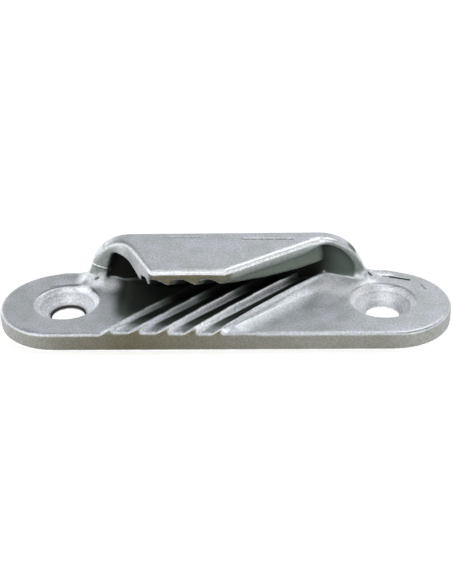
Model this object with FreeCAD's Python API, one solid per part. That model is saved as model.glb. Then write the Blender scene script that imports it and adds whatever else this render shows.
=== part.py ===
import FreeCAD, Part
import math
import os

# Jam cleat, cast in one piece: a plate with two screw holes, a ridged lower jaw
# and a hood whose lip holds the toothed upper jaw over it.
# Millimetres. X runs along the plate, Y from the open front to the rear wall, Z up.
# The origin is the middle of the plate's underside.

# Plate
plate_length = 69.0
plate_width = 18.8
plate_thickness = 2.8
plate_top_round = 0.6
plate_bottom_bevel = 0.1

# Screw holes
hole_spacing = 48.5
hole_diameter = 5.0
countersink_diameter = 9.9
countersink_angle = 90.0

# Lower jaw: saw-tooth ridges that run from the front edge back to the right
ridge_count = 5
ridge_pitch = 4.14
ridge_angle = 45.0
first_crest_x = -16.9
crest_height = 1.77
crest_crown_y = 1.6
crest_crown_radius = 83.0
valley_height_first = 0.4
valley_height_last = 0.1
ridge_steep_run = 0.5
ridge_ramp_run_front = 1.45
ridge_ramp_run_rear = 2.0
crest_round = 0.2
valley_round = 0.5
flank_run_front = 1.3
flank_run_rear = 6.0
flank_steep_run = 0.45
flank_knee_height = 0.85
flank_knee_round = 0.6
flank_blend = 0.5
ramp_blend_run = 0.8
blend_dip = 0.03
jaw_stations = 4
jaw_front_round_steps = 2

# Hood: rear wall, rounded shoulders and a roof that reaches forward to the lip
hood_left_x = -21.2
hood_right_x = 21.6
hood_height = 10.6
hood_rear_y = 8.2
shoulder_left_radius = 6.3
shoulder_right_radius = 6.7
least_leg_side = 0.6
leg_front_y = 5.4
leg_right_lean = 1.3
lean_blend = 1.2
lip_front_y = -4.6
lip_left_x = -10.6
lip_right_x = 0.5
roof_left_x = -15.5
roof_right_x = 14.6
lip_corner_round = 1.2
roof_left_blend = 4.0
roof_right_blend = 6.0
rear_edge_round = 0.8
hood_edge_round = 0.6
foot_round = 0.55

# Hollow under the hood
wall_thickness = 1.4
leg_left_thickness = 2.4
leg_left_lean = 1.5
shoulder_wall = 1.0
roof_thickness = 1.9
roof_step_x = 12.5
hollow_round = 0.6
hollow_rear_round = 1.4

# Upper jaw: teeth under the roof, in line with the roof's right edge
tooth_count = 5
tooth_pitch = 4.1
first_tooth_pitch = 6.2
tooth_inset = 0.35
tip_drop = 4.65
tip_crown_y = 6.0
tip_crown_radius = 26.0
tooth_depth = 1.05
tooth_steep_run = 0.5
tooth_ramp_run = 1.9
tooth_flank_lean = -0.1
first_ramp_slope = 0.185
tip_round = 0.4
gap_round = 0.4
tooth_stations = 5

# Derived places
plate_front_y = -plate_width / 2
hollow_rear_y = hood_rear_y - wall_thickness
roof_under_z = hood_height - roof_thickness
jaw_rear_y = hollow_rear_y + wall_thickness / 2
highest_shoulder = hood_height - plate_thickness - least_leg_side
shoulder_left = min(shoulder_left_radius, highest_shoulder)
shoulder_right = min(shoulder_right_radius, highest_shoulder)
sink = plate_thickness / 2
root_z = plate_thickness - sink
roof_edge_slope = (leg_front_y - lip_front_y) / (roof_right_x - lip_right_x)
spare = 2.0
tiny = 1e-4
sharp_turn = 25.0


def in_elevation(y):
    """Turns a place on a front elevation into a point at that y."""
    return lambda x, z: FreeCAD.Vector(x, y, z)


def in_side_view(x):
    """Turns a place on a side elevation into a point at that x."""
    return lambda y, z: FreeCAD.Vector(x, y, z)


def in_plan(z):
    """Turns a place on a plan into a point at that z."""
    return lambda x, y: FreeCAD.Vector(x, y, z)


def rounded_outline(corners, place):
    """Closed wire through corners (a, b, radius); a radius of 0 leaves a corner sharp."""
    points = [place(a, b) for a, b, radius in corners]
    arcs = []
    starts = []
    ends = []
    for i, (a, b, radius) in enumerate(corners):
        corner = points[i]
        back = (points[i - 1] - corner).normalize()
        ahead = (points[(i + 1) % len(points)] - corner).normalize()
        half = back.getAngle(ahead) / 2
        if radius == 0:
            starts.append(corner)
            ends.append(corner)
            arcs.append(None)
            continue
        inward = (back + ahead).normalize()
        start = corner + back * (radius / math.tan(half))
        end = corner + ahead * (radius / math.tan(half))
        middle = corner + inward * (radius / math.sin(half) - radius)
        starts.append(start)
        ends.append(end)
        arcs.append(Part.Arc(start, middle, end).toShape())
    edges = []
    for i, arc in enumerate(arcs):
        if arc:
            edges.append(arc)
        following = starts[(i + 1) % len(starts)]
        if ends[i].distanceToPoint(following) > tiny:
            edges.append(Part.LineSegment(ends[i], following).toShape())
    return Part.Wire(edges)


def edges_where(shape, test):
    """Edges whose two ends and middle all pass the test."""
    found = []
    for edge in shape.Edges:
        first, last = edge.ParameterRange
        spots = [edge.valueAt(first), edge.valueAt((first + last) / 2), edge.valueAt(last)]
        if all(test(spot) for spot in spots):
            found.append(edge)
    return found


def is_sharp(shape, edge):
    """True where the two faces beside the edge meet at a clear angle."""
    first, last = edge.ParameterRange
    spot = edge.valueAt((first + last) / 2)
    normals = []
    for face in shape.ancestorsOfType(edge, Part.Face):
        u, v = face.Surface.parameter(spot)
        normals.append(face.normalAt(u, v))
    return len(normals) == 2 and math.degrees(normals[0].getAngle(normals[1])) > sharp_turn


def sharp_edges_where(shape, test):
    return [edge for edge in edges_where(shape, test) if is_sharp(shape, edge)]


def make_plate():
    """Plate with two half-round ends, a round on its top edge and a bevel below."""
    x = plate_length / 2
    y = plate_width / 2
    outline = rounded_outline([(-x, -y, y), (x, -y, y), (x, y, y), (-x, y, y)], in_plan(0))
    plate = Part.Face(outline).extrude(FreeCAD.Vector(0, 0, plate_thickness))
    top = edges_where(plate, lambda p: abs(p.z - plate_thickness) < tiny)
    plate = plate.makeFillet(plate_top_round, top)
    bottom = edges_where(plate, lambda p: abs(p.z) < tiny)
    return plate.makeChamfer(plate_bottom_bevel, bottom)


def screw_hole(x):
    """Through hole with its countersink, as one cutter."""
    r_top = countersink_diameter / 2
    r_hole = hole_diameter / 2
    slope = math.tan(math.radians(countersink_angle / 2))
    depth = (r_top - r_hole) / slope
    corners = [
        (0, -spare, 0),
        (r_hole, -spare, 0),
        (r_hole, plate_thickness - depth, 0),
        (r_top + spare * slope, plate_thickness + spare, 0),
        (0, plate_thickness + spare, 0),
    ]
    half_section = Part.Face(rounded_outline(corners, in_elevation(0)))
    cutter = half_section.revolve(FreeCAD.Vector(0, 0, 0), FreeCAD.Vector(0, 0, 1), 360)
    cutter.translate(FreeCAD.Vector(x, 0, 0))
    return cutter


def crest_z(y):
    """Height of the ridge crests, which follow a wide arc from front to rear."""
    return plate_thickness + crest_height - (y - crest_crown_y) ** 2 / (2 * crest_crown_radius)


def blend_radius(length, rise, run):
    """Radius that takes this length on each side of the corner at the foot of a slope."""
    return length / math.tan(math.atan2(rise, run) / 2)


def jaw_section(y, drop):
    """Saw-tooth outline of the lower jaw at one place along Y."""
    along = (y - plate_front_y) / (jaw_rear_y - plate_front_y)
    shift = (y - plate_front_y) / math.tan(math.radians(ridge_angle))
    foot = plate_thickness - drop
    dipped = foot - blend_dip
    top = crest_z(y) - drop
    ramp_run = ridge_ramp_run_front + along * (ridge_ramp_run_rear - ridge_ramp_run_front)
    flank_run = flank_run_front + along * (flank_run_rear - flank_run_front)
    x = first_crest_x + shift
    ramp_x = x - ramp_run
    corners = [
        (ramp_x - ramp_blend_run, root_z, 0),
        (ramp_x - ramp_blend_run, dipped, 0),
        (ramp_x, dipped, blend_radius(ramp_blend_run, top - dipped, ramp_run)),
    ]
    for i in range(ridge_count - 1):
        share = i / (ridge_count - 2)
        floor = foot + valley_height_first + share * (valley_height_last - valley_height_first)
        corners.append((x, top, crest_round))
        corners.append((x + ridge_steep_run, floor, valley_round))
        x += ridge_pitch
        corners.append((x - ramp_run, floor, valley_round))
    knee_z = foot + flank_knee_height
    fall_run = (flank_run - flank_steep_run) / (1 + flank_blend)
    toe_x = x + flank_steep_run + fall_run
    blend_run = flank_blend * fall_run
    corners.append((x, top, crest_round))
    corners.append((x + flank_steep_run, knee_z, flank_knee_round))
    corners.append((toe_x, dipped, blend_radius(blend_run, knee_z - dipped, fall_run)))
    corners.append((toe_x + blend_run, dipped, 0))
    corners.append((toe_x + blend_run, root_z, 0))
    return rounded_outline(corners, in_elevation(y))


def make_lower_jaw():
    """Loft through saw-tooth outlines; the first ones round the front edge over."""
    sections = []
    for i in range(jaw_front_round_steps):
        turn = math.radians(90 * i / jaw_front_round_steps)
        y = plate_front_y + plate_top_round * (1 - math.cos(turn))
        sections.append(jaw_section(y, plate_top_round * (1 - math.sin(turn))))
    first_y = plate_front_y + plate_top_round
    for i in range(jaw_stations):
        y = first_y + i * (jaw_rear_y - first_y) / (jaw_stations - 1)
        sections.append(jaw_section(y, 0))
    return Part.makeLoft(sections, True, True)


def hood_plan():
    """Plan of the hood: a rear strip with a trapezoid roof in front of it."""
    corners = [
        (hood_left_x - spare, hood_rear_y, 0),
        (hood_left_x - spare, leg_front_y, 0),
        (roof_left_x, leg_front_y, roof_left_blend),
        (lip_left_x, lip_front_y, lip_corner_round),
        (lip_right_x, lip_front_y, lip_corner_round),
        (roof_right_x, leg_front_y, roof_right_blend),
        (hood_right_x + spare, leg_front_y, 0),
        (hood_right_x + spare, hood_rear_y, 0),
    ]
    outline = rounded_outline(corners, in_plan(root_z - spare))
    return Part.Face(outline).extrude(FreeCAD.Vector(0, 0, hood_height + 2 * spare))


def make_lean_space():
    """Space ahead of the right leg, whose front curves back from the roof to its foot."""
    foot_y = leg_front_y + leg_right_lean
    ahead_y = leg_front_y - spare
    bend_z = roof_under_z - lean_blend
    bend_radius = blend_radius(lean_blend, leg_right_lean, bend_z - plate_thickness)
    corners = [
        (ahead_y, root_z, 0),
        (foot_y, root_z, 0),
        (foot_y, plate_thickness, bend_radius),
        (leg_front_y, bend_z, bend_radius),
        (leg_front_y, roof_under_z, 0),
        (ahead_y, roof_under_z, 0),
    ]
    profile = Part.Face(rounded_outline(corners, in_side_view(hood_right_x - shoulder_right)))
    return profile.extrude(FreeCAD.Vector(shoulder_right + spare, 0, 0))


def make_hood_block(hollow):
    """Outside of the hood, with rounds on the edges that the hollow leaves."""
    corners = [
        (hood_left_x, root_z, 0),
        (hood_left_x, hood_height, shoulder_left),
        (hood_right_x, hood_height, shoulder_right),
        (hood_right_x, root_z, 0),
    ]
    elevation = Part.Face(rounded_outline(corners, in_elevation(lip_front_y)))
    block = elevation.extrude(FreeCAD.Vector(0, hood_rear_y - lip_front_y, 0))
    block = block.common(hood_plan()).cut(make_lean_space())
    rear_y = hood_rear_y - tiny
    above = root_z + tiny
    front = sharp_edges_where(block, lambda p: p.y < rear_y and not hollow.isInside(p, tiny, True))
    block = block.makeFillet(hood_edge_round, [edge for edge in front if edge.BoundBox.ZMax > above])
    rear = sharp_edges_where(block, lambda p: p.y > rear_y)
    return block.makeFillet(rear_edge_round, [edge for edge in rear if edge.BoundBox.ZMax > above])


def make_hollow():
    """Space under the hood before the upper jaw fills part of it."""
    left = hood_left_x + leg_left_thickness
    right = hood_right_x - shoulder_wall
    top = hood_height - shoulder_wall
    bottom = root_z - spare
    corners = [
        (left, bottom, 0),
        (left, hood_height - shoulder_left, hollow_round),
        (left + leg_left_lean, roof_under_z, hollow_round),
        (roof_step_x, roof_under_z, 0),
        (hood_right_x - shoulder_right, top, 0),
        (right, top, shoulder_right - shoulder_wall),
        (right, bottom, 0),
    ]
    front_y = lip_front_y - spare
    elevation = Part.Face(rounded_outline(corners, in_elevation(front_y)))
    hollow = elevation.extrude(FreeCAD.Vector(0, hollow_rear_y - front_y, 0))
    rear = sharp_edges_where(hollow, lambda p: abs(p.y - hollow_rear_y) < tiny)
    return hollow.makeFillet(hollow_rear_round, [edge for edge in rear if edge.BoundBox.ZMax > root_z])


def tip_z(y):
    """Height of the upper teeth's tips, which curve down towards the rear wall."""
    return hood_height - tip_drop + (y - tip_crown_y) ** 2 / (2 * tip_crown_radius)


def tooth_tips(y):
    """Places of the upper teeth's tips at one y, from left to right."""
    last = lip_right_x - tooth_inset + (y - lip_front_y) / roof_edge_slope
    second = last - (tooth_count - 2) * tooth_pitch
    return [second - first_tooth_pitch] + [second + i * tooth_pitch for i in range(tooth_count - 1)]


def upper_section(y):
    """Saw-tooth outline of the upper jaw at one place along Y."""
    low = tip_z(y)
    high = low + tooth_depth
    tips = tooth_tips(y)
    reach = hood_right_x - hood_left_x
    above = hood_height + reach
    corners = [(tips[0] - reach, above, 0), (tips[0] - reach, low + first_ramp_slope * reach, 0)]
    for here, following in zip(tips, tips[1:]):
        corners.append((here, low, tip_round))
        corners.append((here + tooth_steep_run, high, gap_round))
        corners.append((following - tooth_ramp_run, high, gap_round))
    corners.append((tips[-1], low, tip_round))
    corners.append((tips[-1] + tooth_flank_lean * (above - low), above, 0))
    return rounded_outline(corners, in_elevation(y))


def make_upper_jaw():
    """Loft through saw-tooth outlines from ahead of the lip to the hollow's rear."""
    start = lip_front_y - spare
    step = (hollow_rear_y - start) / (tooth_stations - 1)
    return Part.makeLoft([upper_section(start + i * step) for i in range(tooth_stations)], True, True)


def make_lip_space():
    """Space above and below the lip's teeth, which the upper jaw fills down to their tips."""
    front_y = lip_front_y - spare
    rear_y = (lip_front_y + leg_front_y) / 2
    inset = abs(tooth_flank_lean) * (hood_height - tip_z(rear_y))
    corners = [
        (hood_left_x, front_y, 0),
        (tooth_tips(front_y)[-1] - inset, front_y, 0),
        (tooth_tips(rear_y)[-1] - inset, rear_y, 0),
        (hood_left_x, rear_y, 0),
    ]
    outline = rounded_outline(corners, in_plan(root_z))
    return Part.Face(outline).extrude(FreeCAD.Vector(0, 0, hood_height - root_z))


def make_hood():
    """Hood with the space under it, down from the teeth of the upper jaw."""
    hollow = make_hollow()
    space = hollow.fuse(make_lip_space()).cut(make_upper_jaw())
    return make_hood_block(hollow).cut(space)


def make_foot_rounds(body):
    """Rounds the corner between the plate's top and everything that stands on it."""
    feet = sharp_edges_where(body, lambda p: abs(p.z - plate_thickness) < tiny)
    return body.makeFillet(foot_round, feet)


body = make_foot_rounds(make_plate().fuse(make_hood()))
body = body.fuse(make_lower_jaw())
for x in (-hole_spacing / 2, hole_spacing / 2):
    body = body.cut(screw_hole(x))
body = body.removeSplitter()
os.makedirs("parts", exist_ok=True)
body.exportStep("parts/cleat_body.step")
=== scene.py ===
import math
import bpy
import numpy as np
from mathutils import Matrix, Vector


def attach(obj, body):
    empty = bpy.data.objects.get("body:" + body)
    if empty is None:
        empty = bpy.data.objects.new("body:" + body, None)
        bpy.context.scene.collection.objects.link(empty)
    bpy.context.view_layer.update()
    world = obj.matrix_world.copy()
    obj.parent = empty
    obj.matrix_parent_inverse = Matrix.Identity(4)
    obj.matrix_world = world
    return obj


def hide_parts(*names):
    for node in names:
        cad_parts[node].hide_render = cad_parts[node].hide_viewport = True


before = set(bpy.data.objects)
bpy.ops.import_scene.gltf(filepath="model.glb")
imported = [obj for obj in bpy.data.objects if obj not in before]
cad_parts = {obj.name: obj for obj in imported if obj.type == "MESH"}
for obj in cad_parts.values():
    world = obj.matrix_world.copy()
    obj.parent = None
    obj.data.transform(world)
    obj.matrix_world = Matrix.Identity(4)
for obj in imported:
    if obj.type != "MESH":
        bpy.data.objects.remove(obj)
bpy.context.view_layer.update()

MM = 0.001

# Camera, fitted to the plate's outline and the screw holes in the photograph
IMAGE_WIDTH = 452
IMAGE_HEIGHT = 584
CAMERA_DISTANCE = 170 * MM
CAMERA_YAW = math.radians(2.635)
CAMERA_ELEVATION = math.radians(31.527)
CAMERA_ROLL = math.radians(1.70)
PIXELS_PER_MM = 6.468
ORIGIN_PIXEL_X = 224.55
ORIGIN_PIXEL_Y = 316.75
SENSOR_WIDTH = 36.0
CLIP_START = 10 * MM
CLIP_END = 10


def make_camera():
    """Camera that frames the object as the photograph does."""
    back = Vector((
        math.sin(CAMERA_YAW) * math.cos(CAMERA_ELEVATION),
        -math.cos(CAMERA_YAW) * math.cos(CAMERA_ELEVATION),
        math.sin(CAMERA_ELEVATION),
    ))
    right = Vector((math.cos(CAMERA_YAW), math.sin(CAMERA_YAW), 0))
    up = back.cross(right)
    rolled_right = right * math.cos(CAMERA_ROLL) - up * math.sin(CAMERA_ROLL)
    rolled_up = right * math.sin(CAMERA_ROLL) + up * math.cos(CAMERA_ROLL)
    data = bpy.data.cameras.new("camera")
    long_side = max(IMAGE_WIDTH, IMAGE_HEIGHT)
    data.sensor_width = SENSOR_WIDTH
    data.lens = PIXELS_PER_MM / MM * CAMERA_DISTANCE * SENSOR_WIDTH / long_side
    data.shift_x = (IMAGE_WIDTH / 2 - ORIGIN_PIXEL_X) / long_side
    data.shift_y = (ORIGIN_PIXEL_Y - IMAGE_HEIGHT / 2) / long_side
    data.clip_start = CLIP_START
    data.clip_end = CLIP_END
    camera = bpy.data.objects.new("camera", data)
    axes = Matrix((rolled_right, rolled_up, back)).transposed().to_4x4()
    axes.translation = back * CAMERA_DISTANCE
    camera.matrix_world = axes
    bpy.context.scene.collection.objects.link(camera)
    bpy.context.scene.camera = camera


STROKE_CORE = 0.3  # share of a mark's width that has its full strength


class Nodes:
    """Short calls for building a shader tree."""

    def __init__(self, tree):
        self.tree = tree
        tree.nodes.clear()

    def add(self, kind, inputs=(), **settings):
        """New node; each input is given as a number, a colour or another node's output."""
        node = self.tree.nodes.new(kind)
        for name, value in settings.items():
            setattr(node, name, value)
        for key, value in dict(inputs).items():
            if isinstance(value, bpy.types.NodeSocket):
                self.tree.links.new(value, node.inputs[key])
            else:
                node.inputs[key].default_value = value
        return node

    def math(self, operation, first, second=0.0, clamp=False):
        inputs = {0: first, 1: second}
        node = self.add("ShaderNodeMath", inputs, operation=operation, use_clamp=clamp)
        return node.outputs[0]

    def product(self, first, *others):
        for other in others:
            first = self.math("MULTIPLY", first, other)
        return first

    def vector(self, operation, first, second=(0, 0, 0)):
        inputs = {0: first, 1: second}
        return self.add("ShaderNodeVectorMath", inputs, operation=operation).outputs["Vector"]

    def measure(self, operation, first, second=(0, 0, 0)):
        """Length, distance or dot product of vectors."""
        inputs = {0: first, 1: second}
        return self.add("ShaderNodeVectorMath", inputs, operation=operation).outputs["Value"]

    def parts(self, vector):
        return self.add("ShaderNodeSeparateXYZ", {0: vector}).outputs

    def mix(self, share, first, second, blend="MIX"):
        """Blend of two colours."""
        inputs = {0: share, 6: first, 7: second}
        return self.add("ShaderNodeMix", inputs, data_type="RGBA", blend_type=blend).outputs[2]

    def spread(self, value, low, high, start=0.0, end=1.0):
        """Maps low..high to start..end, smoothly and clamped."""
        inputs = {0: value, 1: low, 2: high, 3: start, 4: end}
        return self.add("ShaderNodeMapRange", inputs, interpolation_type="SMOOTHSTEP").outputs[0]

    def noise(self, place, scale, detail):
        inputs = {"Vector": place, "Scale": scale, "Detail": detail}
        return self.add("ShaderNodeTexNoise", inputs).outputs["Fac"]

    def attribute(self, name):
        return self.add("ShaderNodeAttribute", attribute_name=name).outputs["Fac"]

    def strokes(self, place, marks, upright=False):
        """Straight marks, each with its two ends, its width and its strength, in millimetres.

        The ends are places in plan, or in X and Z where the marks are on an upright face.
        """
        def lay(first, second):
            return (first, 0, second) if upright else (first, second, 0)

        flat = self.vector("MULTIPLY", place, lay(1 / MM, 1 / MM))
        total = 0.0
        for start, end, width, strength in marks:
            run = (end[0] - start[0], end[1] - start[1])
            off = self.vector("SUBTRACT", flat, lay(*start))
            along = self.measure("DOT_PRODUCT", off, lay(*run))
            share = self.math("MULTIPLY", along, 1 / (run[0] ** 2 + run[1] ** 2), clamp=True)
            inputs = {0: lay(*run), "Scale": share}
            foot = self.add("ShaderNodeVectorMath", inputs, operation="SCALE").outputs["Vector"]
            gap = self.measure("DISTANCE", off, foot)
            mark = self.spread(gap, width * STROKE_CORE, width, strength, 0.0)
            total = self.math("MAXIMUM", mark, total)
        return total

    def seen_background(self):
        """1 for rays that see the white background: from the camera, by gloss, through glass."""
        path = self.add("ShaderNodeLightPath")
        rays = self.math("MAXIMUM", path.outputs["Is Camera Ray"], path.outputs["Is Glossy Ray"])
        return self.math("MAXIMUM", rays, path.outputs["Is Transmission Ray"])


# Floor: a plain pale sheet that keeps the object's shadow
FLOOR_SIZE = 2.0
FLOOR_COLOUR = (0.80, 0.79, 0.77, 1)
FLOOR_GLOW = 0.55


def make_floor():
    mesh = bpy.data.meshes.new("floor")
    half = FLOOR_SIZE / 2
    corners = [(-half, -half, 0), (half, -half, 0), (half, half, 0), (-half, half, 0)]
    mesh.from_pydata(corners, [], [(0, 1, 2, 3)])
    floor = bpy.data.objects.new("floor", mesh)
    bpy.context.scene.collection.objects.link(floor)
    material = bpy.data.materials.new("floor")
    material.use_nodes = True
    nodes = Nodes(material.node_tree)
    sheet = nodes.add("ShaderNodeBsdfDiffuse", {"Color": FLOOR_COLOUR})
    strength = nodes.math("MULTIPLY", nodes.seen_background(), FLOOR_GLOW)
    glow = nodes.add("ShaderNodeEmission", {"Strength": strength})
    both = nodes.add("ShaderNodeAddShader", {0: sheet.outputs[0], 1: glow.outputs[0]})
    nodes.add("ShaderNodeOutputMaterial", {"Surface": both.outputs[0]})
    mesh.materials.append(material)


# Lights: round soft boxes that face the object
SOFT_BOXES = [
    # name, radiance, azimuth from the front to the right, elevation
    ("front_left", 4.2, -45, 12),
    ("front_right", 3.2, 45, 12),
    ("left", 1.3, -90, 30),
    ("rear_left", 1.4, -135, 12),
    ("right", 0.6, 110, 28),
    ("front_top", 2.5, 0, 62),
    ("left_top", 1.8, -50, 60),
    ("rear_right", 4.0, 135, 60),
    ("rear", 0.9, 180, 52),
]
SOFT_BOX_SIZE = 0.25
SOFT_BOX_DISTANCE = 0.5
STUDIO_COLOUR = (0.93, 0.97, 1.0, 1)
STUDIO_STRENGTH = 0.05
WHITE = (1, 1, 1, 1)
BACKDROP_TOP = 0.30
BACKDROP_FADE = 0.60


def make_lights():
    for name, radiance, azimuth, elevation in SOFT_BOXES:
        light = bpy.data.lights.new(name, "AREA")
        light.shape = "DISK"
        light.size = SOFT_BOX_SIZE
        # A disk's power is its radiance times pi times its area.
        light.energy = radiance * math.pi * math.pi * (SOFT_BOX_SIZE / 2) ** 2
        lamp = bpy.data.objects.new(name, light)
        turn = math.radians(azimuth)
        tilt = math.radians(elevation)
        towards = Vector((
            math.sin(turn) * math.cos(tilt),
            -math.cos(turn) * math.cos(tilt),
            math.sin(tilt),
        ))
        lamp.location = towards * SOFT_BOX_DISTANCE
        lamp.rotation_mode = "QUATERNION"
        lamp.rotation_quaternion = towards.to_track_quat("Z", "Y")
        bpy.context.scene.collection.objects.link(lamp)


def make_world():
    """Dim studio, with a white backdrop up from the floor for rays that see the background."""
    world = bpy.data.worlds.new("studio")
    world.use_nodes = True
    nodes = Nodes(world.node_tree)
    inputs = {"Color": STUDIO_COLOUR, "Strength": STUDIO_STRENGTH}
    studio = nodes.add("ShaderNodeBackground", inputs)
    white = nodes.add("ShaderNodeBackground", {"Color": WHITE, "Strength": 1.0})
    place = nodes.add("ShaderNodeTexCoord")
    height = nodes.parts(place.outputs["Generated"])["Z"]
    low = nodes.spread(height, BACKDROP_TOP, BACKDROP_FADE, 1.0, 0.0)
    share = nodes.math("MULTIPLY", low, nodes.seen_background())
    both = nodes.add("ShaderNodeMixShader", {0: share, 1: studio.outputs[0], 2: white.outputs[0]})
    nodes.add("ShaderNodeOutputWorld", {"Surface": both.outputs[0]})
    bpy.context.scene.world = world


# Casting: a fine skin over the CAD solid, softened where the real casting is soft
SKIN_VOXEL = 0.15 * MM
SKIN_TRIANGLES = 190000

# Where the solid's parts are, in millimetres as in the CAD model
PLATE_TOP = 2.8
PLATE_HALF_WIDTH = 9.4
PLATE_HALF_LENGTH = 34.5
HOLE_X = 24.25
HOLE_RADIUS = 2.5
COUNTERSINK_RADIUS = 4.95
HOOD_LEFT = -21.2
HOOD_RIGHT = 21.6
HOOD_REAR = 8.2
HOOD_TOP = 10.6
LEG_FRONT = 5.4
RIGHT_LEG_FRONT = 6.7  # where its round at the plate starts
WALL_CORNER = 0.7
HOLLOW_LEFT = -18.8
HOLLOW_RIGHT = 20.6
HOLLOW_REAR = 6.8
LIP_LEFT = -10.6
LIP_RIGHT = 0.5
LIP_FRONT = -4.6
ROOF_LEFT = -15.5
ROOF_RIGHT = 14.6

# The ridges run at 45 degrees, so X less Y, their slant, is the same all along a crest
CRESTS = [-7.5, -3.36, 0.78, 4.92, 9.06]
FIRST_CREST = CRESTS[0]
LAST_CREST = CRESTS[-1]

# From here on, a pair of numbers is a band: the low and the high end of a soft step from
# 0 to 1. Three numbers are a span: where it starts, where it ends and how far each end
# fades out. Both are measured in millimetres, or in the share of a normal that points
# up or to the front.
BEHIND_HOLLOW = (HOLLOW_REAR, HOLLOW_REAR + 0.5)

# Wide rounds where the legs and the rear wall grow out of the plate
FLARE_SIDE = 3.3
FLARE_REAR = 1.2
FLARE_FRONT = 2.2
FLARE_GAP = (HOLLOW_LEFT + 0.4, HOLLOW_RIGHT - 0.3, 0.6)
FLARE_INSIDE_WALL = 0.4
FLARE_LEVEL = (-0.6, -0.05)

# Raised places on the plate
PLATE_FACE = (PLATE_TOP - 0.4, PLATE_TOP - 0.1)
OVER_PLATE = (PLATE_TOP + 0.5, PLATE_TOP + 2.0)
RIGHT_RAMP = 0.25
RIGHT_RAMP_WIDTH = (16.5, 19.5, 3.0)
RIGHT_RAMP_RISE = (1.5, HOLLOW_REAR)
LEFT_MOUND = 0.7
LEFT_MOUND_START = (HOLLOW_LEFT - 1.5, HOLLOW_LEFT)
LEFT_MOUND_END = (-18.0, -15.5)
LEFT_MOUND_RISE = (2.8, 5.6)

# The last ridge's flank runs out on the plate in a hollow curve
FAN_HEIGHT = 0.7
FAN_WIDTH = 3.6
FAN_START = 0.15
FAN_FRONT = (-9.4, -8.0)
FAN_LOWEST = PLATE_TOP - 0.3
FAN_HIGHEST = PLATE_TOP + 1.5
FAN_UNDER_HOOD = 1.5

# The lip's upper edge, the right leg's outside and the plate's rear rim
LIP_ROUND = 0.30
LIP_ROUND_DEPTH = 1.3
LIP_ROUND_WIDTH = (LIP_LEFT + 0.2, ROOF_RIGHT, 1.0)
LIP_ROUND_LEVEL = (HOOD_TOP - 0.6, HOOD_TOP - 0.3)
RIGHT_LEG_SWELL = 0.18
RIGHT_LEG_SIDE = (HOOD_RIGHT - 0.7, HOOD_RIGHT - 0.2)
RIGHT_LEG_HEIGHT = (3.6, 8.5, 1.0)
REAR_RIM_SWELL = 0.26
REAR_RIM_RIGHT = (23.5, 25.0, 3.5)
REAR_RIM_LEFT = (-25.5, -21.0, 2.0)
REAR_RIM_LEFT_SHARE = 0.5
REAR_RIM_DEPTH = (7.0, 8.4)
REAR_RIM_FACE = (PLATE_TOP - 0.8, PLATE_TOP - 0.3)
OVER_REAR_RIM = (PLATE_TOP + 0.4, PLATE_TOP + 1.2)

# Smoothing: how many rounds, and where. The jaw and the lip's teeth keep their edges.
EVEN_ROUNDS = 3
FEET_ROUNDS = 12
FEET_GAP = (-15.5, 14.5, 1.0)
FEET_REACH = (-4.0, 1.5, 1.0)
FEET_HEIGHT = (PLATE_TOP - 0.2, PLATE_TOP + 2.0, 0.5)
RIM_ROUNDS = 25
RIM_GAP = (LIP_LEFT - 1.5, 15.0, 1.5)
RIM_REACH = (-1.0, 2.0, 0.6)
RIM_HEIGHT = (PLATE_TOP + 0.3, HOOD_TOP, 0.5)

TINY = 1e-6


def ease(value, low, high):
    """0 below low, 1 above high and a soft step between."""
    t = np.clip((value - low) / (high - low), 0, 1)
    return t * t * (3 - 2 * t)


def within(value, low, high, soft):
    """1 between low and high, falling to 0 over soft on each side."""
    return ease(value, low - soft, low) * (1 - ease(value, high, high + soft))


def beside_hood(x, y):
    """Distance in plan from the hood's legs and rear wall, and the direction away from them."""
    front = np.where(x < 0, LEG_FRONT, RIGHT_LEG_FRONT)
    middle_x = (HOOD_LEFT + HOOD_RIGHT) / 2
    middle_y = (front + HOOD_REAR) / 2
    across = np.abs(x - middle_x) - (HOOD_RIGHT - middle_x) + WALL_CORNER
    along = np.abs(y - middle_y) - (HOOD_REAR - middle_y) + WALL_CORNER
    out_x = np.where((across > 0) | (across > along), np.maximum(across, TINY), 0)
    out_y = np.where((along > 0) | (along >= across), np.maximum(along, TINY), 0)
    length = np.hypot(out_x, out_y)
    away_x = out_x / length * np.sign(x - middle_x)
    away_y = out_y / length * np.sign(y - middle_y)
    outside = np.hypot(np.maximum(across, 0), np.maximum(along, 0))
    inside = np.minimum(np.maximum(across, along), 0)
    return outside + inside - WALL_CORNER, np.stack([away_x, away_y], 1)


def mouth_line(x):
    """How far forward the hood reaches at this place along the plate."""
    places = [HOOD_LEFT, ROOF_LEFT, LIP_LEFT, LIP_RIGHT, ROOF_RIGHT, HOOD_RIGHT]
    fronts = [LEG_FRONT, LEG_FRONT, LIP_FRONT, LIP_FRONT, LEG_FRONT, LEG_FRONT]
    return np.interp(x, places, fronts)


def applied(piece):
    """New mesh with the object's modifiers in it."""
    graph = bpy.context.evaluated_depsgraph_get()
    return bpy.data.meshes.new_from_object(piece.evaluated_get(graph))


def skin_mesh(source):
    """Even quad mesh over the solid."""
    remesh = source.modifiers.new("skin", "REMESH")
    remesh.mode = "VOXEL"
    remesh.voxel_size = SKIN_VOXEL
    remesh.use_smooth_shade = True
    return applied(source)


def read_points(mesh):
    flat = np.empty(len(mesh.vertices) * 3)
    mesh.vertices.foreach_get("co", flat)
    return flat.reshape(-1, 3) / MM


def write_points(mesh, points):
    mesh.vertices.foreach_set("co", (points * MM).ravel())
    mesh.update()


def read_edges(mesh):
    flat = np.empty(len(mesh.edges) * 2, dtype=np.int32)
    mesh.edges.foreach_get("vertices", flat)
    return flat.reshape(-1, 2)


def count_neighbours(edges, count):
    return np.bincount(edges.ravel(), minlength=count)


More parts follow.
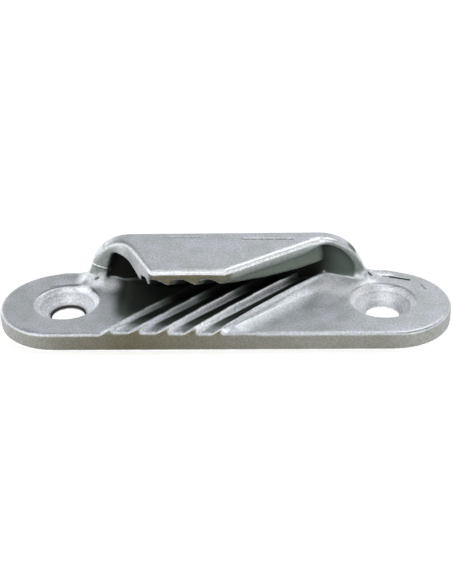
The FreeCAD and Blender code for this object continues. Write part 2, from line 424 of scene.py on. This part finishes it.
def neighbours_mean(values, edges, neighbours):
    """Mean of the values at each point's neighbours."""
    a, b = edges.T
    count = len(values)
    return (np.bincount(a, values[b], count) + np.bincount(b, values[a], count)) / neighbours


def smooth(points, edges, weight, rounds):
    """Moves each point halfway to the middle of its neighbours, times its weight."""
    neighbours = count_neighbours(edges, len(points))
    for _ in range(rounds):
        for axis in range(3):
            line = points[:, axis]
            points[:, axis] = line + (neighbours_mean(line, edges, neighbours) - line) * weight / 2


def fill_corner(points, distance, away, radius, share):
    """Moves the plate and a wall onto a round in the corner between them."""
    height = points[:, 2] - PLATE_TOP
    a = np.clip(distance, 0, radius)
    h = np.clip(height, 0, radius)
    scale = radius / np.maximum(np.hypot(radius - a, radius - h), radius)
    near = (distance < radius) & (distance > -FLARE_INSIDE_WALL) & (height < radius)
    share = share * near * ease(height, *FLARE_LEVEL)
    shift = (radius - (radius - a) * scale - a) * share
    points[:, :2] += away * shift[:, None]
    points[:, 2] += (radius - (radius - h) * scale - h) * share


# In the functions below, x, y and z are views of the points, so they move with them.

def flare_feet(points):
    """Wide rounds where the legs and the rear wall grow out of the plate."""
    x, y, _ = points.T
    distance, away = beside_hood(x, y)
    gap = within(x, *FLARE_GAP) * (1 - ease(y, *BEHIND_HOLLOW))
    sideways = (FLARE_SIDE - FLARE_REAR) * np.abs(away[:, 0])
    ahead = (FLARE_FRONT - FLARE_REAR) * np.maximum(-away[:, 1], 0)
    fill_corner(points, distance, away, FLARE_REAR + sideways + ahead, 1 - gap)


def raise_floor(points):
    """The ramp in front of the right leg and the mound in the left arch."""
    x, y, z = points.T
    ramp = within(x, *RIGHT_RAMP_WIDTH) * ease(y, *RIGHT_RAMP_RISE) * (1 - ease(z, *OVER_PLATE))
    points[:, 2] += RIGHT_RAMP * ramp * ease(z, *PLATE_FACE)
    mound = (1 - ease(x, *LEFT_MOUND_END)) * ease(x, *LEFT_MOUND_START)
    mound = mound * ease(y, *LEFT_MOUND_RISE)
    mound *= ease(z, *PLATE_FACE) * (1 - ease(z, *OVER_PLATE))
    points[:, 2] += LEFT_MOUND * mound * (1 - ease(y, *BEHIND_HOLLOW))


def fan_out_flank(points):
    """The hollow curve at the foot of the last ridge's flank."""
    x, y, z = points.T
    off = (x - y - LAST_CREST - FAN_START) / math.sqrt(2)
    rise = FAN_HEIGHT * np.clip(1 - off / FAN_WIDTH, 0, 1) ** 2
    fan = PLATE_TOP + rise * ease(y, *FAN_FRONT)
    near = (off > 0) & (off < FAN_WIDTH) & (y < HOLLOW_REAR)
    near &= (z > FAN_LOWEST) & (z < FAN_HIGHEST)
    near &= beside_hood(x, y)[0] > -FAN_UNDER_HOOD
    points[:, 2] = np.where(near, np.maximum(z, fan), z)


def soften_edges(points):
    """The lip's round, the right leg's fuller side and the plate's raised rear rim."""
    x, y, z = points.T
    lip = ease(z, *LIP_ROUND_LEVEL) * within(x, *LIP_ROUND_WIDTH)
    behind = y - mouth_line(x)
    points[:, 2] -= LIP_ROUND * lip * np.clip(1 - behind / LIP_ROUND_DEPTH, 0, 1) ** 2
    leg = ease(x, *RIGHT_LEG_SIDE) * within(z, *RIGHT_LEG_HEIGHT)
    points[:, 0] += RIGHT_LEG_SWELL * leg
    rim = within(x, *REAR_RIM_RIGHT) + REAR_RIM_LEFT_SHARE * within(x, *REAR_RIM_LEFT)
    rim *= ease(y, *REAR_RIM_DEPTH) * ease(z, *REAR_RIM_FACE) * (1 - ease(z, *OVER_REAR_RIM))
    points[:, 2] += REAR_RIM_SWELL * rim


def soften(mesh):
    points = read_points(mesh)
    edges = read_edges(mesh)
    smooth(points, edges, np.ones(len(points)), EVEN_ROUNDS)
    flare_feet(points)
    raise_floor(points)
    fan_out_flank(points)
    soften_edges(points)
    x, y, z = points.T
    feet = 1 - within(x, *FEET_GAP) * (1 - ease(y, *BEHIND_HOLLOW))
    feet = feet * within(beside_hood(x, y)[0], *FEET_REACH) * within(z, *FEET_HEIGHT)
    smooth(points, edges, feet, FEET_ROUNDS)
    rims = (1 - within(x, *RIM_GAP)) * within(z, *RIM_HEIGHT)
    rims = rims * within(y - mouth_line(x), *RIM_REACH)
    smooth(points, edges, rims, RIM_ROUNDS)
    write_points(mesh, points)


def make_casting():
    """The piece that stands for the solid: its skin, softened, thinned and marked."""
    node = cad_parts["cleat_body"]
    source = bpy.data.objects.new("source", node.data.copy())
    bpy.context.scene.collection.objects.link(source)
    mesh = skin_mesh(source)
    bpy.data.objects.remove(source)
    soften(mesh)
    piece = bpy.data.objects.new("cleat_casting", mesh)
    bpy.context.scene.collection.objects.link(piece)
    triangles = sum(len(face.vertices) - 2 for face in mesh.polygons)
    if triangles > SKIN_TRIANGLES:
        thin = piece.modifiers.new("thin", "DECIMATE")
        thin.ratio = SKIN_TRIANGLES / triangles
        piece.data = applied(piece)
        piece.modifiers.remove(thin)
    mark_surface(piece.data)
    piece.data.materials.clear()
    piece.data.materials.append(metal_material())
    piece.data.shade_smooth()
    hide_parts("cleat_body")
    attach(piece, "root")


# Attributes for the material: where shade, light and highlights are painted on the casting, where
# it is worn and where it is rough.
# Levels and facings that more than one of them uses:
JAW_TOP = (PLATE_TOP + 2.0, PLATE_TOP + 2.4)
ABOVE_JAW = (PLATE_TOP + 2.0, PLATE_TOP + 3.0)
LEGS_GAP = (-15.0, 14.5, 2.0)

# Walls and ceiling of the hollow, which are painted dark as shade
REAR_WALL = (HOLLOW_REAR - 0.8, HOLLOW_REAR - 0.3)
LEG_WALLS_GAP = (-18.0, 19.5, 0.4)
WALL_FOOT = (PLATE_TOP + 0.05, PLATE_TOP + 0.5)
WALL_NOT_FACING = (0.5, 0.8)
CEILING = (PLATE_TOP + 2.2, PLATE_TOP + 2.8)
CEILING_EDGE = (0.0, 1.0)

# Painted shade on the jaw's floors: how dark each is, and where it fades in
LEFT_FLOOR_DARK = 0.85
LEFT_FLOOR_START = (-18.3, -13.8)
LEFT_FLOOR_DEPTH = (-7.5, -2.0)
LEFT_FLOOR_END = (FIRST_CREST - 1.2, FIRST_CREST + 0.3)
VALLEY_FLOOR_DARK = 0.90
VALLEY_FLOOR_SLANT = (FIRST_CREST + 0.5, LAST_CREST - 0.4, 0.2)
VALLEY_FLOOR_DEPTH = (-9.3, -4.5)
VALLEY_FLOOR_FACING = (0.72, 0.92)
VALLEY_FLOOR_TOP = (PLATE_TOP + 0.7, PLATE_TOP + 1.0)
VALLEY_DARK = 0.36
VALLEY_SLANT = (-6.0, 2.5)
VALLEY_DEPTH = (-8.5, -3.0)
FAR_FLOOR_REACH = (5.0, 10.0)
FAR_FLOOR_START = (-18.0, -14.5)
FAR_FLOOR_END = (9.0, 14.0)

# Shade under the hood, and the Y at which it starts by slant. None falls past the last crest.
SHADE_DARK = 0.97
SHADE_SLANT = (FIRST_CREST - 0.3, LAST_CREST - 0.1, 0.3)
SHADE_FADE = (-2.6, 2.0)
SHADE_START_SLANT = CRESTS[:-1] + [LAST_CREST - 0.3, LAST_CREST]
SHADE_START_Y = [-1.9, -0.4, 1.1, 5.5, 6.0, 20]

# Where all of that stays inside the hood, and how much paler it is at the right end
INSIDE_WIDTH = (HOLLOW_LEFT + 0.1, HOLLOW_RIGHT - 0.5, 0.5)
RIGHT_END_PALER = 0.46
RIGHT_END = (13.0, 20.0)
ROOF_LEVEL = (HOOD_TOP - 2.0, HOOD_TOP - 1.0)
ROOF_FACING = (0.2, 0.6)
REAR_SIDE = (HOOD_REAR - 1.0, HOOD_REAR - 0.6)

# Painted shade on upright faces turned to the front, which are also rougher: the plate's
# edge, the lip, the right flank, the legs' fronts and the ridges' front ends
SKIN_NOT_FACING = (0.25, 0.6)
PLATE_EDGE_DEPTH = 0.5
PLATE_EDGE_X = [-33, -24, -14, -2, 14, 24, 33]
PLATE_EDGE_COVER = [0.5, 0.85, 1.0, 0.9, 0.75, 0.75, 0.5]
LEAST_LIP_COVER = 0.42
LIP_COVER_WIDTH = (LIP_LEFT + 0.3, LIP_RIGHT + 0.5, 1.0)
LIP_COVER_TOP = (HOOD_TOP - 0.5, HOOD_TOP - 0.1)
LIP_FACING = (0.3, 0.6)
FLANK_START = (LIP_RIGHT - 1.0, LIP_RIGHT + 1.5)
FLANK_TOP_BARE = 0.55
FLANK_TOP = (HOOD_TOP - 2.2, HOOD_TOP - 0.4)
FLANK_SHADE = (-1.0, 4.0)
LEFT_LEG_COVER = 0.72
RIGHT_LEG_COVER = 0.85
LEG_COVER_FOOT = (PLATE_TOP + 0.3, PLATE_TOP + 1.8)
LEG_FACING = (0.35, 0.75)
RIDGE_END_FACING = (0.5, 0.75)
RIDGE_END_TOP = (PLATE_TOP + 1.9, PLATE_TOP + 2.4)
RIDGE_END_DEPTH = (-8.2, -7.4)
PAST_RIDGES = (LAST_CREST, LAST_CREST + 0.3)
CLEAR_OF_HOLE = (COUNTERSINK_RADIUS, COUNTERSINK_RADIUS + 0.3)

# Painted light: pale, less metallic patches under the left arch and on the plate inside both legs
ARCH_PAINTED_LIGHT = 0.45
ARCH_START = (-18.5, -15.0)
ARCH_END = (LIP_LEFT - 1.5, LIP_LEFT)
ARCH_FACING = (0.1, 0.5)
ARCH_NOT_FACING = (0.75, 0.95)
LEFT_BAY = ((-17.6, 4.9), (2.2, 1.9))  # middle and reach in X and Y
RIGHT_BAY = ((17.2, 4.2), (4.2, 3.8))
RIGHT_BAY_SLANT = (LAST_CREST, LAST_CREST + 0.6)

# Bores, whose walls get painted shade, and countersinks
BORE_EDGE = (HOLE_RADIUS + 0.2, HOLE_RADIUS + 0.4)
BORE_FOOT = (0.1, 0.3)
RIGHT_BORE_DARK = 0.1
CONE_EDGE = (COUNTERSINK_RADIUS - 0.1, COUNTERSINK_RADIUS + 0.15)

# Worn edges with painted highlights along them, and painted highlights on the steep sides of two
# ridges
WEAR = (0.07, 0.20)
WEAR_ARCH_END = (LIP_LEFT - 1.0, LIP_LEFT)
WEAR_ARCH_FOOT = (PLATE_TOP + 1.0, PLATE_TOP + 2.0)
PLATE_WEAR_LESS = 0.9
PLATE_WEAR_TOP = (PLATE_TOP + 0.1, PLATE_TOP + 0.4)
LEFT_JAW_WEAR_LESS = 0.5
LEFT_JAW_SLANT = (-9.0, 0.0)
LIP_EDGE_REACH = (-0.15, 0.6, 0.25)
LIP_EDGE_LEVEL = (HOOD_TOP - 0.8, HOOD_TOP - 0.5)
LIP_EDGE_WIDTH = (LIP_LEFT + 0.2, 16.0, 1.0)
LIP_EDGE_FACING = (0.2, 0.5)
STEEP_FACING = (0.3, 0.5)
STEEP_DEPTH = (-9.2, -8.6)
FOURTH_STEEP = (4.7, 6.2, 0.3)
THIRD_STEEP = (0.6, 2.0, 0.3)
THIRD_STEEP_SHINE = 0.45


class Surface:
    """The casting's points in millimetres, where they lie and which way they face."""

    def __init__(self, mesh):
        flat = np.empty(len(mesh.vertices) * 3)
        mesh.vertex_normals.foreach_get("vector", flat)
        self.normals = flat.reshape(-1, 3)
        self.points = read_points(mesh)
        self.edges = read_edges(mesh)
        self.x, self.y, self.z = self.points.T
        self.up = self.normals[:, 2]
        self.front = -self.normals[:, 1]
        self.slant = self.x - self.y
        self.in_mouth = self.y - mouth_line(self.x)
        self.from_hole = np.hypot(np.abs(self.x) - HOLE_X, self.y)
        self.low = 1 - ease(self.z, *JAW_TOP)
        self.above_jaw = ease(self.z, *ABOVE_JAW)
        self.legs = 1 - within(self.x, *LEGS_GAP)


def add_attribute(mesh, name, values):
    layer = mesh.attributes.new(name, "FLOAT", "POINT")
    layer.data.foreach_set("value", values.astype(np.float32))


# The hollow's walls and ceiling, all of which get painted shade
def hollow_walls(s):
    by_wall = np.maximum(ease(s.y, *REAR_WALL), 1 - within(s.x, *LEG_WALLS_GAP))
    upright = by_wall * ease(s.z, *WALL_FOOT) * (1 - ease(s.up, *WALL_NOT_FACING))
    return np.maximum(upright, ease(s.z, *CEILING)) * ease(s.in_mouth, *CEILING_EDGE)


def painted_inner_shade(s, walls):
    """How much shade is painted into the hollow and the jaw."""
    before_ridges = 1 - ease(s.slant, *LEFT_FLOOR_END)
    left_floor = LEFT_FLOOR_DARK * ease(s.x, *LEFT_FLOOR_START) * ease(s.y, *LEFT_FLOOR_DEPTH)
    left_floor = left_floor * before_ridges * s.low
    valley_floor = within(s.slant, *VALLEY_FLOOR_SLANT) * ease(s.y, *VALLEY_FLOOR_DEPTH)
    valley_floor = valley_floor * ease(s.up, *VALLEY_FLOOR_FACING)
    valley_floor = valley_floor * (1 - ease(s.z, *VALLEY_FLOOR_TOP))
    valley = (1 - ease(s.slant, *VALLEY_SLANT)) * ease(s.y, *VALLEY_DEPTH)
    valley = valley * (1 - before_ridges) * s.low
    far_floor = ease(s.in_mouth, *FAR_FLOOR_REACH) * (1 - ease(s.x, *FAR_FLOOR_END))
    far_floor = far_floor * ease(s.x, *FAR_FLOOR_START) * s.low
    behind = s.y - np.interp(s.slant, SHADE_START_SLANT, SHADE_START_Y)
    shade = SHADE_DARK * ease(behind, *SHADE_FADE) * s.low * within(s.slant, *SHADE_SLANT)
    dark = np.maximum.reduce([
        walls, shade, left_floor, VALLEY_FLOOR_DARK * valley_floor, far_floor, VALLEY_DARK * valley,
    ])
    dark = dark * within(s.x, *INSIDE_WIDTH) * (1 - RIGHT_END_PALER * ease(s.x, *RIGHT_END))
    roof = ease(s.up, *ROOF_FACING) * ease(s.z, *ROOF_LEVEL)
    return dark * (1 - roof) * (1 - ease(s.y, *REAR_SIDE))


def rough_skin_and_front_shade(s):
    """How much painted shade, on a rougher finish, the upright faces turned to the front get."""
    past_end = np.maximum(np.abs(s.x) - (PLATE_HALF_LENGTH - PLATE_HALF_WIDTH), 0)
    plate_edge = np.hypot(past_end, s.y) > PLATE_HALF_WIDTH - PLATE_EDGE_DEPTH
    plate_edge &= s.z < PLATE_TOP
    cover = within(s.x, *LIP_COVER_WIDTH) * (1 - ease(s.z, *LIP_COVER_TOP))
    cover = LEAST_LIP_COVER + (1 - LEAST_LIP_COVER) * cover
    flank = (1 - FLANK_TOP_BARE * ease(s.z, *FLANK_TOP)) * ease(s.x, *FLANK_START)
    lip = ease(s.front, *LIP_FACING) * s.above_jaw * np.maximum(cover, flank) * (1 - s.legs)
    leg = np.where(s.x < 0, LEFT_LEG_COVER, RIGHT_LEG_COVER) * ease(s.z, *LEG_COVER_FOOT)
    leg = s.legs * leg * ease(s.front, *LEG_FACING)
    ridge_end = ease(s.front, *RIDGE_END_FACING) * (1 - ease(s.z, *RIDGE_END_TOP))
    ridge_end = ridge_end * (1 - ease(s.y, *RIDGE_END_DEPTH)) * (1 - ease(s.slant, *PAST_RIDGES))
    rest = np.maximum.reduce([lip, leg, ridge_end])
    skin = np.where(plate_edge, np.interp(s.x, PLATE_EDGE_X, PLATE_EDGE_COVER), rest)
    return (1 - ease(np.abs(s.up), *SKIN_NOT_FACING)) * skin * ease(s.from_hole, *CLEAR_OF_HOLE)


# Pale patches of painted light, kept off the painted shade
def painted_light_patches(s, walls, inside):
    def patch(middle, reach):
        return np.exp(-((s.x - middle[0]) / reach[0]) ** 2 - ((s.y - middle[1]) / reach[1]) ** 2)

    arch = (1 - ease(s.x, *ARCH_END)) * s.above_jaw * ease(s.front, *ARCH_FACING)
    arch = arch * (1 - ease(s.up, *ARCH_NOT_FACING))
    bays = np.maximum(patch(*LEFT_BAY), patch(*RIGHT_BAY) * ease(s.slant, *RIGHT_BAY_SLANT))
    bays = bays * s.low * (1 - walls)
    return np.maximum(ARCH_PAINTED_LIGHT * arch * ease(s.x, *ARCH_START), bays) * (1 - inside)


def edge_sharpness(s):
    """How sharply each point stands out from its neighbours."""
    a, b = s.edges.T
    step = s.points[b] - s.points[a]
    length = np.linalg.norm(step, axis=1)
    count = len(s.points)
    out = np.bincount(a, -(step * s.normals[a]).sum(1) / length, count)
    out += np.bincount(b, (step * s.normals[b]).sum(1) / length, count)
    neighbours = count_neighbours(s.edges, count)
    return neighbours_mean(out / neighbours, s.edges, neighbours)


# Edges pale from wear and from a painted highlight; the lip's top edge gets a painted highlight
# only
def wear_and_edge_highlights(s, inside):
    left_arch = (1 - ease(s.x, *WEAR_ARCH_END)) * ease(s.z, *WEAR_ARCH_FOOT)
    kept = 1 - PLATE_WEAR_LESS * (1 - ease(s.z, *PLATE_WEAR_TOP))
    left_jaw = (1 - ease(s.slant, *LEFT_JAW_SLANT)) * (1 - s.above_jaw)
    kept = kept * (1 - LEFT_JAW_WEAR_LESS * left_jaw)
    wear_and_highlight = ease(edge_sharpness(s), *WEAR) * (1 - inside) * (1 - left_arch) * kept
    lip = within(s.in_mouth, *LIP_EDGE_REACH) * ease(s.z, *LIP_EDGE_LEVEL)
    lip = lip * within(s.x, *LIP_EDGE_WIDTH) * ease(s.up, *LIP_EDGE_FACING)
    return np.maximum(wear_and_highlight, lip)


# Painted highlight on the steep sides of the third and fourth ridges
def painted_ridge_highlight(s, inside):
    steep = ease(s.front, *STEEP_FACING) * s.low * ease(s.y, *STEEP_DEPTH)
    third = THIRD_STEEP_SHINE * within(s.slant, *THIRD_STEEP)
    return np.maximum(within(s.slant, *FOURTH_STEEP), third) * steep * (1 - inside)


def mark_surface(mesh):
    """Writes the attributes that the material reads."""
    s = Surface(mesh)
    walls = hollow_walls(s)
    inside = painted_inner_shade(s, walls)
    # flank: where the painted front shade is greener, on the right flank and the legs
    flank = np.maximum(ease(s.x, *FLANK_SHADE) * s.above_jaw, s.legs * (s.z > PLATE_TOP))
    # Painted shade on the bores' walls, faint in the right one
    bore_shade = (1 - ease(s.from_hole, *BORE_EDGE)) * ease(s.z, *BORE_FOOT)
    # inside: painted shade in the hollow and the jaw
    add_attribute(mesh, "inside", inside)
    add_attribute(mesh, "skin_and_front_shade", rough_skin_and_front_shade(s))
    add_attribute(mesh, "flank", flank)
    add_attribute(mesh, "painted_light", painted_light_patches(s, walls, inside))
    add_attribute(mesh, "bore_shade", bore_shade * np.where(s.x < 0, 1.0, RIGHT_BORE_DARK))
    add_attribute(mesh, "cone", 1 - ease(s.from_hole, *CONE_EDGE))
    add_attribute(mesh, "wear_and_highlight", wear_and_edge_highlights(s, inside))
    add_attribute(mesh, "ridge_highlight", painted_ridge_highlight(s, inside))


# Marks left by the casting and by handling: from, to, width and strength. Those on the
# roof and the plate are in plan, and those on the left leg in X and Z.
CUTS = {
    "roof": [
        ((2.8, 5.5), (10.6, 5.35), 0.18, 0.75),
        ((15.2, 5.1), (16.5, 5.0), 0.22, 0.9),
        ((-9.2, 6.2), (-3.6, 6.1), 0.15, 0.5),
    ],
    "plate": [
        ((21.9, 7.2), (22.9, 6.7), 0.40, 0.9),
        ((24.8, 7.4), (26.4, 7.1), 0.20, 0.6),
        ((26.0, 7.2), (28.9, 6.2), 0.34, 1.0),
        ((30.6, 4.7), (31.1, 3.3), 0.25, 0.4),
        ((25.9, 4.4), (27.2, 4.3), 0.15, 0.4),
        ((-27.5, 4.75), (-24.0, 5.55), 0.25, 0.35),
    ],
    "leg": [
        ((-20.35, 4.0), (-19.9, 4.2), 0.26, 0.75),
        ((-21.0, 6.3), (-18.6, 5.45), 0.16, 0.4),
    ],
}
SCRAPES = {
    "roof": [
        ((3.0, 5.95), (11.0, 5.8), 0.22, 1.0),
        ((13.4, 5.5), (16.0, 5.4), 0.30, 0.9),
        ((-8.8, 6.55), (-4.0, 6.45), 0.16, 0.6),
    ],
    "plate": [
        ((22.9, 7.75), (26.0, 7.6), 0.22, 0.9),
        ((26.0, 7.6), (28.8, 6.7), 0.16, 0.7),
    ],
    "leg": [
        ((-20.9, 6.55), (-18.4, 5.65), 0.18, 1.0),
    ],
}
TOP_FACING = (0.5, 0.8)
LEG_NORMAL_Y = (-0.6, -0.3)
ROOF_MARKS_FROM = (9.6 * MM, 10.1 * MM)
PLATE_MARKS_TO = (4.0 * MM, 5.0 * MM)
RAGGED_SCALE = 1600
RAGGED_BAND = (0.36, 0.48)

# Cast aluminium
METAL_COLOUR = (0.66, 0.70, 0.72, 1)
COOL_METAL = (0.66, 0.68, 0.73, 1)
PAINTED_LIGHT_COLOUR = (0.96, 0.97, 1.0, 1)
CONE_COLOUR = (0.82, 0.84, 0.88, 1)
# Pale for worn edges, real scrapes and painted highlights
WEAR_AND_HIGHLIGHT_COLOUR = (0.93, 0.95, 0.97, 1)
# Painted shade on faces turned to the front, greener on the flank and the legs
FRONT_SHADE_COLOUR = (0.155, 0.145, 0.10, 1)
FLANK_SHADE_COLOUR = (0.22, 0.25, 0.21, 1)
# Painted shade in the hollow: green-grey, then near black; the near black also fills the cuts
GREEN_SHADE = (0.13, 0.16, 0.14, 1)
SHADE_AND_CUT_COLOUR = (0.012, 0.013, 0.011, 1)
BORE_SHADE_COLOUR = (0.06, 0.055, 0.045, 1)
GREEN_BAND = (0.0, 0.55)
DARK_BAND = (0.45, 1.0)

# Shades that the fine variation multiplies the colour by, from its darkest to its lightest
FINE_DETAIL = 2.0
NOISE_BAND = (0.3, 0.7)
SPECKLE_SCALE = 3200
SPECKLE_SHADES = (0.84, 1.12)
MOTTLE_SCALE = 420
MOTTLE_DETAIL = 4.0
MOTTLE_SHADES = (0.92, 1.06)
MOTTLE_COLOURS = (0.4, 0.6)
RING_SCALE = 2600
RING_BAND = (0.35, 0.65)
RING_SHADES = (0.86, 1.08)

# Painted shadow: a dark arc on the plate behind each countersink's rim
ARC_RADIUS = 5.15 * MM
ARC_DARK = 0.42
ARC_WIDTH = (0.05 * MM, 0.32 * MM)
ARC_REAR = (0.5 * MM, 3.5 * MM)
ARC_LEVEL = (2.9 * MM, 3.2 * MM)

# Gloss and grain
METAL_ROUGHNESS = 0.48
CONE_ROUGHNESS = 0.54
SKIN_ROUGHNESS = 0.55
ROUGHNESS_SPREAD = 0.04
PAINTED_LIGHT_METALLIC = 0.1
DULL_BAND = (0.4, 1.0)
LOW_GLOSS_BAND = (0.3, 1.0)
GLOSS = 0.5
INSIDE_GLOSS = 0.05
GRAIN_SCALE = 4500
GRAIN_DETAIL = 3.0
GRAIN_DEPTH = 0.011 * MM


def handling_marks(nodes, place):
    """Masks of the dark cuts and of the bright scrapes."""
    normal = nodes.parts(nodes.add("ShaderNodeNewGeometry").outputs["Normal"])
    height = nodes.parts(place)["Z"]
    top = nodes.spread(normal["Z"], *TOP_FACING)
    broken = nodes.spread(nodes.noise(place, RAGGED_SCALE, FINE_DETAIL), *RAGGED_BAND)
    faces = {
        "roof": nodes.product(top, nodes.spread(height, *ROOF_MARKS_FROM), broken),
        "plate": nodes.product(top, nodes.spread(height, *PLATE_MARKS_TO, 1.0, 0.0)),
        "leg": nodes.spread(normal["Y"], *LEG_NORMAL_Y, 1.0, 0.0),
    }
    masks = []
    for marks in (CUTS, SCRAPES):
        mask = 0.0
        for name, face in faces.items():
            strokes = nodes.strokes(place, marks[name], upright=name == "leg")
            mask = nodes.math("MAXIMUM", nodes.product(strokes, face), mask)
        masks.append(mask)
    return masks


def fine_shade(nodes, place, mottle, cone):
    """Grey that the colour is multiplied by: speckle, mottling, rings and painted shadow arcs
    behind the rims.
    """
    speckle = nodes.noise(place, SPECKLE_SCALE, FINE_DETAIL)
    shade = nodes.product(
        nodes.spread(speckle, *NOISE_BAND, *SPECKLE_SHADES),
        nodes.spread(mottle, *NOISE_BAND, *MOTTLE_SHADES),
    )
    from_hole = nodes.vector("SUBTRACT", nodes.vector("ABSOLUTE", place), (HOLE_X * MM, 0, 0))
    radius = nodes.measure("LENGTH", nodes.vector("MULTIPLY", from_hole, (1, 1, 0)))
    by_radius = nodes.add("ShaderNodeCombineXYZ", {0: radius}).outputs[0]
    rings = nodes.spread(nodes.noise(by_radius, RING_SCALE, FINE_DETAIL), *RING_BAND, *RING_SHADES)
    rings = nodes.math("ADD", 1.0, nodes.product(nodes.math("SUBTRACT", rings, 1.0), cone))
    from_arc = nodes.math("ABSOLUTE", nodes.math("SUBTRACT", radius, ARC_RADIUS))
    rim_shadow = nodes.product(
        nodes.spread(from_arc, *ARC_WIDTH, ARC_DARK, 0.0),
        nodes.spread(nodes.parts(place)["Y"], *ARC_REAR),
        nodes.spread(nodes.parts(place)["Z"], *ARC_LEVEL, 1.0, 0.0),
    )
    shade = nodes.product(shade, rings, nodes.math("SUBTRACT", 1.0, rim_shadow))
    return nodes.add("ShaderNodeCombineColor", {0: shade, 1: shade, 2: shade}).outputs[0]


def metal_material():
    material = bpy.data.materials.new("cast_aluminium")
    material.use_nodes = True
    nodes = Nodes(material.node_tree)
    place = nodes.add("ShaderNodeTexCoord").outputs["Object"]
    mottle = nodes.noise(place, MOTTLE_SCALE, MOTTLE_DETAIL)
    skin_and_front_shade = nodes.attribute("skin_and_front_shade")
    inside = nodes.attribute("inside")
    painted_light = nodes.attribute("painted_light")
    cone = nodes.attribute("cone")
    cuts, scrapes = handling_marks(nodes, place)

    colour = nodes.mix(nodes.spread(mottle, *MOTTLE_COLOURS), METAL_COLOUR, COOL_METAL)
    colour = nodes.mix(cone, colour, CONE_COLOUR)
    # Painted shade on faces turned to the front, greener on the flank and the legs
    skin = nodes.mix(nodes.attribute("flank"), FRONT_SHADE_COLOUR, FLANK_SHADE_COLOUR)
    colour = nodes.mix(skin_and_front_shade, colour, skin)
    # Worn edges with painted highlights, painted highlights on two ridges, and real scrapes
    colour = nodes.mix(nodes.attribute("wear_and_highlight"), colour, WEAR_AND_HIGHLIGHT_COLOUR)
    colour = nodes.mix(nodes.attribute("ridge_highlight"), colour, WEAR_AND_HIGHLIGHT_COLOUR)
    colour = nodes.mix(scrapes, colour, WEAR_AND_HIGHLIGHT_COLOUR)
    # Painted light: pale patches under the left arch and inside both legs
    colour = nodes.mix(painted_light, colour, PAINTED_LIGHT_COLOUR)
    colour = nodes.mix(1.0, colour, fine_shade(nodes, place, mottle, cone), "MULTIPLY")
    colour = nodes.mix(cuts, colour, SHADE_AND_CUT_COLOUR)
    # Painted shade in the bores
    colour = nodes.mix(nodes.attribute("bore_shade"), colour, BORE_SHADE_COLOUR)
    # Painted shade in the hollow and the jaw: green-grey, then near black
    colour = nodes.mix(nodes.spread(inside, *GREEN_BAND), colour, GREEN_SHADE)
    colour = nodes.mix(nodes.spread(inside, *DARK_BAND), colour, SHADE_AND_CUT_COLOUR)

    rough = nodes.spread(skin_and_front_shade, 0.0, 1.0, METAL_ROUGHNESS, SKIN_ROUGHNESS)
    rough = nodes.math("MAXIMUM", rough, nodes.product(cone, CONE_ROUGHNESS))
    uneven = nodes.spread(mottle, *NOISE_BAND, -ROUGHNESS_SPREAD, ROUGHNESS_SPREAD)
    # Painted light patches are made less metallic, and painted shade is made dull, with little
    # gloss
    metallic = nodes.product(
        nodes.spread(painted_light, 0.0, 1.0, 1.0, PAINTED_LIGHT_METALLIC),
        nodes.spread(inside, *DULL_BAND, 1.0, 0.0),
    )
    grain = nodes.noise(place, GRAIN_SCALE, GRAIN_DETAIL)
    inputs = {"Strength": 1.0, "Distance": GRAIN_DEPTH, "Height": grain}
    bump = nodes.add("ShaderNodeBump", inputs)
    shader = nodes.add("ShaderNodeBsdfPrincipled", {
        "Base Color": colour,
        "Metallic": metallic,
        "Specular IOR Level": nodes.spread(inside, *LOW_GLOSS_BAND, GLOSS, INSIDE_GLOSS),
        "Roughness": nodes.math("ADD", rough, uneven),
        "Normal": bump.outputs["Normal"],
    })
    nodes.add("ShaderNodeOutputMaterial", {"Surface": shader.outputs[0]})
    return material


make_camera()
make_floor()
make_lights()
make_world()
make_casting()
bpy.context.scene.view_settings.view_transform = "Standard"
